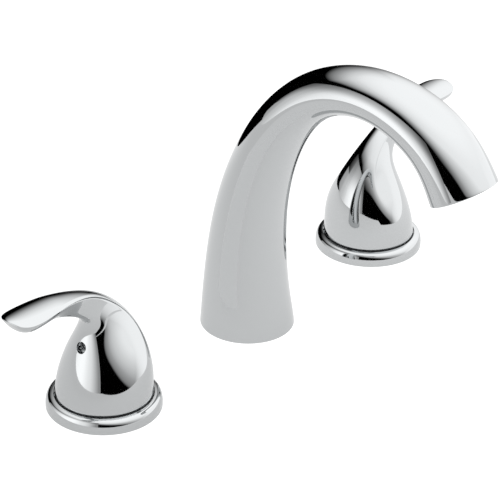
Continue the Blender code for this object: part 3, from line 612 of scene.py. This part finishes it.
def close_finish(tree, shader):
    """Links the surface to the material's output."""
    add(tree, "ShaderNodeOutputMaterial", {"Surface": shader.outputs[0]})


def spread(tree, value, low, high, start=0, end=1, kind="LINEAR"):
    """Maps a value that runs from start to end onto a range."""
    sockets = {"Value": value, "From Min": start, "From Max": end, "To Min": low, "To Max": high}
    return add(tree, "ShaderNodeMapRange", sockets, interpolation_type=kind).outputs["Result"]


print("middle grey in linear light:", round(linear("#808080")[0], 3))

# %% [markdown]
# The shells are polished chrome: bright nickel and a thin coat of chromium over ground brass. The
# plate itself is a mirror. What tells it from a perfect mirror is the faint waviness that the
# polishing wheels leave, some eleven millimetres long, and a haze that is not quite even.

# %% Polished chrome plate
POLISH_WAVES, WAVE_DEPTH, WAVE_STRENGTH = 90, 0.01 * MM, 0.3
# spots of haze are between two and three millimetres wide
HAZE_SPOTS = 420
PLATE_ROUGHNESS = (0.025, 0.05)


def polished_chrome():
    """A mirror of chromium that bends and blurs what it shows very slightly."""
    finish, tree, place = new_finish("polished chrome plate")
    waves = add(tree, "ShaderNodeTexNoise", {"Vector": place, "Scale": POLISH_WAVES, "Detail": 1})
    height = {"Height": waves.outputs["Fac"], "Distance": WAVE_DEPTH, "Strength": WAVE_STRENGTH}
    bump = add(tree, "ShaderNodeBump", height)
    haze = add(tree, "ShaderNodeTexNoise", {"Vector": place, "Scale": HAZE_SPOTS, "Detail": 3})
    plate = add(
        tree,
        "ShaderNodeBsdfPrincipled",
        {
            "Base Color": linear("#C4C6C7"),
            "Metallic": 1,
            "Roughness": spread(tree, haze.outputs["Fac"], *PLATE_ROUGHNESS),
            "Normal": bump.outputs["Normal"],
        },
    )
    close_finish(tree, plate)
    return finish


chrome = polished_chrome()
print("made:", chrome.name)

# %% [markdown]
# The valves, stems, shanks and nuts inside are brass turned on a lathe and left bare. The tool
# leaves fine level grooves round every turned face, and the metal dulls unevenly where it has been
# handled. The noise is squeezed upright, so that it lies in rings without a seam.

# %% Turned brass
# features to the metre round the piece and up it: a groove every 0.4 mm
GROOVES, GROOVE_DEPTH = (30, 30, 2500), 0.02 * MM
# stains are about seventeen millimetres wide
STAINS = 60
BRASS_ROUGHNESS = (0.2, 0.38)


def turned_brass():
    """Free-cutting brass with the tool's grooves and uneven dulling."""
    finish, tree, place = new_finish("turned free-cutting brass")
    flat = add(tree, "ShaderNodeMapping", {"Vector": place, "Scale": GROOVES})
    lines = add(tree, "ShaderNodeTexNoise", {"Vector": flat.outputs[0], "Scale": 1, "Detail": 2})
    height = {"Height": lines.outputs["Fac"], "Distance": GROOVE_DEPTH}
    bump = add(tree, "ShaderNodeBump", height)
    stain = add(tree, "ShaderNodeTexNoise", {"Vector": place, "Scale": STAINS, "Detail": 3})
    tone = add(
        tree,
        "ShaderNodeMix",
        {"Factor": stain.outputs["Fac"], "A": linear("#DDBB6A"), "B": linear("#C79F4E")},
        data_type="RGBA",
    )
    metal = add(
        tree,
        "ShaderNodeBsdfPrincipled",
        {
            "Base Color": tone.outputs["Result"],
            "Metallic": 1,
            "Roughness": spread(tree, stain.outputs["Fac"], *BRASS_ROUGHNESS),
            "Normal": bump.outputs["Normal"],
        },
    )
    close_finish(tree, metal)
    return finish


brass = turned_brass()
print("made:", brass.name)

# %% [markdown]
# The washers and set screws are steel with a thin coat of zinc. Zinc plating has a fine grain that
# scatters the light, so only the roughness changes over it.

# %% Zinc-plated steel
# grains of about two thirds of a millimetre, coarser than real ones so that they show
ZINC_GRAINS = 1500
ZINC_ROUGHNESS = (0.3, 0.5)


def plated_steel():
    """Steel under zinc, grey and satin."""
    finish, tree, place = new_finish("zinc-plated steel")
    grain = add(tree, "ShaderNodeTexNoise", {"Vector": place, "Scale": ZINC_GRAINS, "Detail": 4})
    metal = add(
        tree,
        "ShaderNodeBsdfPrincipled",
        {
            "Base Color": linear("#A9ABAD"),
            "Metallic": 1,
            "Roughness": spread(tree, grain.outputs["Fac"], *ZINC_ROUGHNESS),
        },
    )
    close_finish(tree, metal)
    return finish


steel = plated_steel()
print("made:", steel.name)

# %% [markdown]
# The gaskets, discs and cartridge parts are moulded or pressed. Such stuffs differ in colour, grain
# and gloss, but all have the same kind of fine grain, so one function makes the three of them.

# %% Rubber, ceramic and plastic
GRAIN_DEPTH = 0.03 * MM
GLOSS_SPREAD = 0.08


def moulded(name, tone, dark, grains, rough):
    """A moulded or pressed stuff with a fine grain in its colour, its gloss and its surface."""
    finish, tree, place = new_finish(name)
    grain = add(tree, "ShaderNodeTexNoise", {"Vector": place, "Scale": grains, "Detail": 3})
    fac = grain.outputs["Fac"]
    colours = {"Factor": fac, "A": linear(tone), "B": linear(dark)}
    colour = add(tree, "ShaderNodeMix", colours, data_type="RGBA")
    bump = add(tree, "ShaderNodeBump", {"Height": fac, "Distance": GRAIN_DEPTH})
    stuff = add(
        tree,
        "ShaderNodeBsdfPrincipled",
        {
            "Base Color": colour.outputs["Result"],
            "Roughness": spread(tree, fac, rough - GLOSS_SPREAD, rough + GLOSS_SPREAD),
            "Normal": bump.outputs["Normal"],
        },
    )
    close_finish(tree, stuff)
    return finish


# nitrile rubber is nearly black and dull, with moulding dust in it
rubber = moulded("moulded nitrile rubber", "#232324", "#2E2E2F", 900, 0.7)
# lapped alumina discs are white, dense and slightly glossy
ceramic = moulded("lapped alumina ceramic", "#ECEAE4", "#E2DFD8", 2500, 0.25)
# acetal parts of the cartridge are dark grey with a satin moulded face
plastic = moulded("moulded acetal plastic", "#3A3C3F", "#323437", 700, 0.45)
print("made:", rubber.name, "and", ceramic.name, "and", plastic.name)

# %% [markdown]
# Each piece gets the finish of what it is made of. The table names a piece without its side,
# because both stations have the same parts, and what isn't in it is chromed.

# %% Finishes onto the pieces
FINISH_OF = {
    "deck_gasket": rubber, "deck_washer": steel, "deck_nut": brass, "glide_ring": plastic,
    "valve_body": brass, "seal_ring": rubber, "fixed_disc": ceramic, "moving_disc": ceramic,
    "cartridge_housing": plastic, "bonnet_nut": brass, "stem": brass, "stem_o_ring": rubber,
    "spline_adapter": plastic, "set_screw": steel, "spout_gasket": rubber,
    "spout_deck_washer": steel, "spout_deck_nut": brass, "spout_shank": brass,
    "shank_lower_o_ring": rubber, "shank_upper_o_ring": rubber, "spout_hub": brass,
    "spout_set_screw": steel, "waterway_tube": brass, "outlet_collar": plastic,
    "stream_straightener": plastic,
}
for name, node in nodes.items():
    side_free = name.removeprefix("hot_").removeprefix("cold_")
    node.data.materials.clear()
    node.data.materials.append(FINISH_OF.get(side_free, chrome))
for shell in (spout, hot_handle, cold_handle, *ring_shells):
    shell.data.materials.append(chrome)
print("finishes:", len({node.data.materials[0].name for node in nodes.values()}))

# %% [markdown]
# The camera stands where the photographer stood, in front of the set and to its left, looking
# down from about thirty degrees. The far end of the set looks smaller than the near end by the
# amount that a lens some one and a half metres away gives.

# %% Camera at the photographer's place
AZIMUTH = math.radians(51.44)
ELEVATION = math.radians(29.268)
ROLL = math.radians(1.049)
AWAY = 1603.17 * MM
ASIDE, ABOVE = 4.152 * MM, 43.496 * MM
NUDGE = Vector((2.92, -0.73, 0)) * MM
# the lens in picture widths: the fit gave 2631.42 of the picture's 500 points
FOCAL_SHARE = 2631.42 / 500
# the width of the film in millimetres
SENSOR = 36
# how far the camera sees, in metres
FAR_CLIP = 20

level_right = Vector((math.cos(AZIMUTH), -math.sin(AZIMUTH), 0))
level_ahead = Vector((math.sin(AZIMUTH), math.cos(AZIMUTH), 0))
upward = Vector((0, 0, 1))
ahead = level_ahead * math.cos(ELEVATION) - upward * math.sin(ELEVATION)
above = level_ahead * math.sin(ELEVATION) + upward * math.cos(ELEVATION)
right = level_right * math.cos(ROLL) + above * math.sin(ROLL)
above = above * math.cos(ROLL) - level_right * math.sin(ROLL)

bpy.ops.object.camera_add()
camera = bpy.context.object
camera.name = "photo_camera"
camera.matrix_world = Matrix((right, above, -ahead)).transposed().to_4x4()
camera.location = right * ASIDE + above * ABOVE - ahead * AWAY - NUDGE
camera.data.sensor_width = SENSOR
camera.data.lens = SENSOR * FOCAL_SHARE
camera.data.clip_end = FAR_CLIP
bpy.context.scene.camera = camera
print("lens:", round(camera.data.lens, 1), "mm, camera at", camera.location)

# %% [markdown]
# The eye sees the set on plain white, but polished metal mirrors the whole studio, so the studio
# is what gives chrome its look. The set stands on a sheet of white paper. Its edge, thirteen to
# twenty-two centimetres in front of the set and further off behind it, draws the line between each
# reflection's crisp grey foot and the dark room above. A second sheet further out shows from above
# only, so the high spout mirrors it and the low domes don't. The paper could be an endless white
# floor, but then the metal would mirror white up to the horizon and lose its black.

# %% White paper
PAPER_GREY = (0.4, 0.4, 0.4, 1)
FULL_GLOW, LOW_GLOW = 0.8, 0.5
# the glow changes over this many metres to the left and the right of the spout
GLOW_REACH = 0.3


def paper_finish(name, left_glow, right_glow, from_above=False):
    """White paper that glows by itself as well as it scatters, so that a shadow stays faint."""
    finish, tree, place = new_finish(name)
    across = add(tree, "ShaderNodeSeparateXYZ", {"Vector": place}).outputs["X"]
    glow = spread(tree, across, left_glow, right_glow, -GLOW_REACH, GLOW_REACH)
    shine = add(tree, "ShaderNodeEmission", {"Strength": glow})
    dull = add(tree, "ShaderNodeBsdfDiffuse", {"Color": PAPER_GREY})
    paper = add(tree, "ShaderNodeAddShader", {0: shine.outputs[0], 1: dull.outputs[0]})
    if from_above:
        under = add(tree, "ShaderNodeNewGeometry").outputs["Backfacing"]
        clear = add(tree, "ShaderNodeBsdfTransparent")
        sides = {0: under, 1: paper.outputs[0], 2: clear.outputs[0]}
        paper = add(tree, "ShaderNodeMixShader", sides)
    close_finish(tree, paper)
    return finish


# %% [markdown]
# Each sheet is a flat face whose corners are moved to their places one by one. One face is enough,
# because paper has no thickness that shows. The backdrop is what the eye sees, and the metal
# doesn't mirror it; the other sheets are what the metal mirrors, and the eye doesn't see them.

# %% Sheets of paper
# corners in millimetres; the mirrored sheet is cut away behind the set on the right
BACKDROP = ((-4000, -4000), (4000, -4000), (4000, 4000), (-4000, 4000))
SHEET = (
    (-450, -215), (-20, -225), (60, -130), (460, -170), (2500, -600), (2500, 200), (400, 110),
    (260, 200), (0, 640), (-450, 1400),
)
FAR_SHEET = ((-4000, -4000), (60, -4000), (60, -155), (-4000, -155))
BACKDROP_HEIGHT, FAR_SHEET_HEIGHT = -0.1, 50


def place_corners(obj, order, corners):
    """Moves the corners of the object in edit mode to these places in millimetres."""
    for index, corner in zip(order, corners):
        pick(obj, [index])
        here = bmesh.from_edit_mesh(obj.data).verts[index].co
        shift(Vector(corner) * MM - here)


def new_sheet(name, outline, height, finish):
    """A level sheet through the corners of an outline in millimetres, its face upwards."""
    bpy.ops.object.select_all(action="DESELECT")
    bpy.ops.mesh.primitive_circle_add(vertices=len(outline), radius=1, fill_type="NGON")
    new = bpy.context.object
    new.name = name
    bpy.ops.object.mode_set(mode="EDIT")
    place_corners(new, range(len(outline)), [(x, y, height) for x, y in outline])
    bpy.ops.object.mode_set(mode="OBJECT")
    if new.data.polygons[0].normal.z < 0:
        new.data.flip_normals()
    new.data.materials.append(finish)
    print(name, "covers", round(new.data.polygons[0].area, 2), "square metres")
    return new


def show_in_metal_only(obj):
    """Hides an object from the camera and from plain surfaces; only the metal mirrors it."""
    obj.visible_camera = obj.visible_diffuse = obj.visible_shadow = False


backdrop_finish = paper_finish("white backdrop paper", FULL_GLOW, FULL_GLOW)
backdrop = new_sheet("white_backdrop", BACKDROP, BACKDROP_HEIGHT, backdrop_finish)
backdrop.visible_glossy = False
sheet_finish = paper_finish("white studio paper", LOW_GLOW, FULL_GLOW)
sheet = new_sheet("mirrored_sheet", SHEET, 0, sheet_finish)
sheet.visible_camera = False
far_finish = paper_finish("white far paper", LOW_GLOW, FULL_GLOW, from_above=True)
far_sheet = new_sheet("far_sheet", FAR_SHEET, FAR_SHEET_HEIGHT, far_finish)
show_in_metal_only(far_sheet)

# %% [markdown]
# In the photograph the spout mirrors plain paper where the left handle stands, as it does when
# each piece is photographed by itself and the pictures are joined. Here a box of paper stands round
# the handle instead: it shows from outside only, so the handle itself looks through it.

# %% Box of paper round the left handle
BOX_SIZE = Vector((124, 80, 95.5)) * MM
BOX_MIDDLE = Vector((-147, 3, 48.25)) * MM

bpy.ops.mesh.primitive_cube_add(size=1)
box = bpy.context.object
box.name = "paper_box"
bpy.ops.object.mode_set(mode="EDIT")
stretch(BOX_SIZE, (0, 0, 0))
shift(BOX_MIDDLE)
bpy.ops.object.mode_set(mode="OBJECT")
show_in_metal_only(box)
box.data.materials.append(far_finish)
size = [round(side / MM, 1) for side in box.dimensions]
print("paper box:", size, "mm")

# %% [markdown]
# The light comes from far away, so it is painted onto the world instead of being set up as lamps:
# a lamp would show in the chrome as a small hard patch. A direction is measured by how far the look
# goes along it, and a row of stops turns that measure into a soft edge. Nought on the compass is
# the back of the set, and ninety is its right side.

# %% Directions and levels
def unit(azimuth, elevation):
    """A direction from its compass angle, nought along +Y and ninety along +X, and its height."""
    turn, rise = math.radians(azimuth), math.radians(elevation)
    level = math.cos(rise)
    return Vector((math.sin(turn) * level, math.cos(turn) * level, math.sin(rise)))


def facing(tree, look, direction):
    """How far the look goes along a direction."""
    inputs = {0: look, 1: tuple(direction)}
    return add(tree, "ShaderNodeVectorMath", inputs, operation="DOT_PRODUCT").outputs["Value"]


def both(tree, first, second, operation="MULTIPLY"):
    """Joins two levels."""
    return add(tree, "ShaderNodeMath", {0: first, 1: second}, operation=operation).outputs[0]


def staged(tree, value, stops):
    """A level that follows a row of stops, each a value and its level."""
    start, end = stops[0][0], stops[-1][0]
    ramp = add(tree, "ShaderNodeValToRGB", {"Fac": spread(tree, value, 0, 1, start, end)})
    elements = ramp.color_ramp.elements
    for at, _ in stops[1:-1]:
        elements.new((at - start) / (end - start))
    for element, (_, level) in zip(elements, stops):
        element.color = (level, level, level, 1)
    return ramp.outputs["Color"]


print("straight right is", [round(share, 3) for share in unit(90, 0)])

# %% [markdown]
# A wide white screen hangs over the set. It ends at a slanting line on the left and behind, past
# which the metal goes black, and it fades out towards the camera. The line is straight, a great
# circle round the set, and bends a little at both ends. On the right the room's wall is lit.
# Surfaces that aren't metal see an even white instead, which lights the whole set plainly.

# %% Ceiling screen and lit wall
# how far the look goes past the screen's edge, and how bright the screen is there
EDGE_STOPS = (
    (-0.11, 0), (-0.08, 0.12), (-0.05, 0.24), (-0.02, 0.33), (0.02, 0.42), (0.07, 0.55),
    (0.12, 0.66), (0.17, 0.76), (0.22, 0.81), (0.27, 0.88), (0.32, 0.92), (0.42, 0.96),
    (0.52, 0.985), (0.72, 1),
)
# how far the look goes up and away from the camera, and how bright the screen is there
FADE_STOPS = (
    (-0.05, 0), (-0.02, 0.17), (0, 0.24), (0.05, 0.31), (0.1, 0.37), (0.15, 0.46),
    (0.2, 0.53), (0.27, 0.62), (0.34, 0.69), (0.41, 0.78), (0.48, 0.88), (0.64, 0.91),
    (0.8, 0.97), (0.9, 1),
)
PAST_EDGE, ALONG_EDGE = unit(136, 42.5), unit(46, 0)
FROM_CAMERA = (0.484, -0.012, 0.875)
TO_WALL = unit(110, 0)
SCREEN_STRENGTH, WALL_STRENGTH, PLAIN_STRENGTH = 2, 1.9, 1
# by how much the screen's edge moves over a bend, and between which places along it
FAR_BEND = (0, 0.15, 0.55, 0.95)
NEAR_BEND = (0, 0.14, 0.15, -0.35)
# how far the look goes to the right where the wall starts and where it is fully lit
WALL_EDGE = (0.42, 0.95)

world = bpy.data.worlds.new("studio")
world.use_nodes = True
room = world.node_tree
room.nodes.clear()
look = add(room, "ShaderNodeTexCoord").outputs["Generated"]

along_edge = facing(room, look, ALONG_EDGE)
bends = both(
    room, spread(room, along_edge, *FAR_BEND), spread(room, along_edge, *NEAR_BEND), "ADD"
)
past_edge = both(room, facing(room, look, PAST_EDGE), bends, "SUBTRACT")
screen_edge = staged(room, past_edge, EDGE_STOPS)
screen_fade = staged(room, facing(room, look, FROM_CAMERA), FADE_STOPS)
screen = both(room, both(room, screen_edge, screen_fade), SCREEN_STRENGTH)
to_wall = facing(room, look, TO_WALL)
wall = spread(room, to_wall, 0, WALL_STRENGTH, *WALL_EDGE, "SMOOTHSTEP")

in_metal = add(room, "ShaderNodeBackground", {"Strength": both(room, screen, wall, "MAXIMUM")})
plain = add(room, "ShaderNodeBackground", {"Strength": PLAIN_STRENGTH})
glossy = add(room, "ShaderNodeLightPath").outputs["Is Glossy Ray"]
seen = add(room, "ShaderNodeMixShader", {0: glossy, 1: plain.outputs[0], 2: in_metal.outputs[0]})
add(room, "ShaderNodeOutputWorld", {"Surface": seen.outputs[0]})
bpy.context.scene.world = world
bpy.context.scene.view_settings.view_transform = "Standard"
print("studio nodes:", len(room.nodes))

# %% [markdown]
# What stands close to the set looks different from the spout and from each handle, as it does from
# different seats in a room. The world can't give that, because it is equally far from everything.
# So two things are real cards: a white reflector low on the left, and a black flag behind the set.
# Their light is their own, and nothing but the metal sees them.

# %% Upright cards
def upright_card(name, corners, finish):
    """A flat card through four corners in millimetres, seen in the metal alone."""
    bpy.ops.object.select_all(action="DESELECT")
    bpy.ops.mesh.primitive_plane_add(size=1)
    card = bpy.context.object
    card.name = name
    bpy.ops.object.mode_set(mode="EDIT")
    place_corners(card, (0, 1, 3, 2), corners)
    bpy.ops.object.mode_set(mode="OBJECT")
    show_in_metal_only(card)
    card.data.materials.append(finish)
    print(name, "covers", round(card.data.polygons[0].area, 2), "square metres")


# %% [markdown]
# The reflector stands beside the set on its left and runs far back. Its height grows towards the
# back, half a metre beside the spout and 0.37 metres more for every metre. Its light falls off
# upwards and towards both ends, which rounds the left sides of the spout and of both domes.

# %% Reflector on the left
REFLECTOR = ((-450, -190, 0), (-450, 4400, 0), (-450, 4400, 2130), (-450, -190, 430))
HEIGHT_AT_SPOUT, HEIGHT_GROWTH = 0.5, 0.37
REFLECTOR_STRENGTH = 2.12
# metres behind the spout's foot, and how bright the card is there
ALONG_STOPS = (
    (-0.16, 0.2), (-0.13, 0.3), (-0.07, 0.5), (-0.04, 0.6), (0, 0.65), (0.045, 0.74),
    (0.086, 0.81), (0.15, 0.82), (0.24, 0.78), (0.45, 0.6), (0.49, 0.54), (0.75, 0.43),
    (0.99, 0.41), (1.4, 0.3), (3.3, 0.25), (4.4, 0.13),
)
# share of the card's height there, and how bright the card is
UPWARD_STOPS = (
    (0.3, 1), (0.42, 0.9), (0.49, 0.8), (0.58, 0.67), (0.67, 0.55), (0.76, 0.46),
    (0.87, 0.4), (1, 0.3),
)


def reflector_finish():
    """A white card whose light follows its two rows of stops."""
    finish, tree, place = new_finish("white reflector card")
    spot = add(tree, "ShaderNodeSeparateXYZ", {"Vector": place}).outputs
    along = staged(tree, spot["Y"], ALONG_STOPS)
    growth = {0: spot["Y"], 1: HEIGHT_GROWTH, 2: HEIGHT_AT_SPOUT}
    full_height = add(tree, "ShaderNodeMath", growth, operation="MULTIPLY_ADD").outputs[0]
    share_up = both(tree, spot["Z"], full_height, "DIVIDE")
    level = both(tree, along, staged(tree, share_up, UPWARD_STOPS))
    strength = both(tree, level, REFLECTOR_STRENGTH)
    close_finish(tree, add(tree, "ShaderNodeEmission", {"Strength": strength}))
    return finish


upright_card("left_reflector", REFLECTOR, reflector_finish())

# %% [markdown]
# The flag is a black cloth behind the set on the right. It thins out upwards and towards both
# sides, and its lower edge slants up to the left. The handles, which are low, see less of the
# screen over it than the high spout does, so the domes have a darker zone than the spout.

# %% Flag behind the set on the right
FLAG = ((-150, 415, 212), (360, 91, 0), (360, 91, 520), (-150, 415, 520))
# height in metres, and how thin the cloth is there
THIN_STOPS = (
    (0.12, 0), (0.169, 0.25), (0.204, 0.42), (0.241, 0.55), (0.282, 0.66), (0.33, 0.76),
    (0.42, 0.9), (0.52, 1),
)
# metres across where the cloth starts to thin out and where it is gone
THIN_RIGHT, THIN_LEFT = (0.22, 0.36), (0, -0.15)


def flag_finish():
    """A black cloth that lets more light through the thinner it is."""
    finish, tree, place = new_finish("black flag cloth")
    spot = add(tree, "ShaderNodeSeparateXYZ", {"Vector": place}).outputs
    sides = [spread(tree, spot["X"], 0, 1, *ends, "SMOOTHSTEP") for ends in (THIN_RIGHT, THIN_LEFT)]
    thin_aside = both(tree, *sides, "MAXIMUM")
    thinness = both(tree, staged(tree, spot["Z"], THIN_STOPS), thin_aside, "MAXIMUM")
    cloth = add(tree, "ShaderNodeEmission", {"Strength": 0})
    clear = add(tree, "ShaderNodeBsdfTransparent")
    cover = {0: thinness, 1: cloth.outputs[0], 2: clear.outputs[0]}
    close_finish(tree, add(tree, "ShaderNodeMixShader", cover))
    return finish


upright_card("back_flag", FLAG, flag_finish())
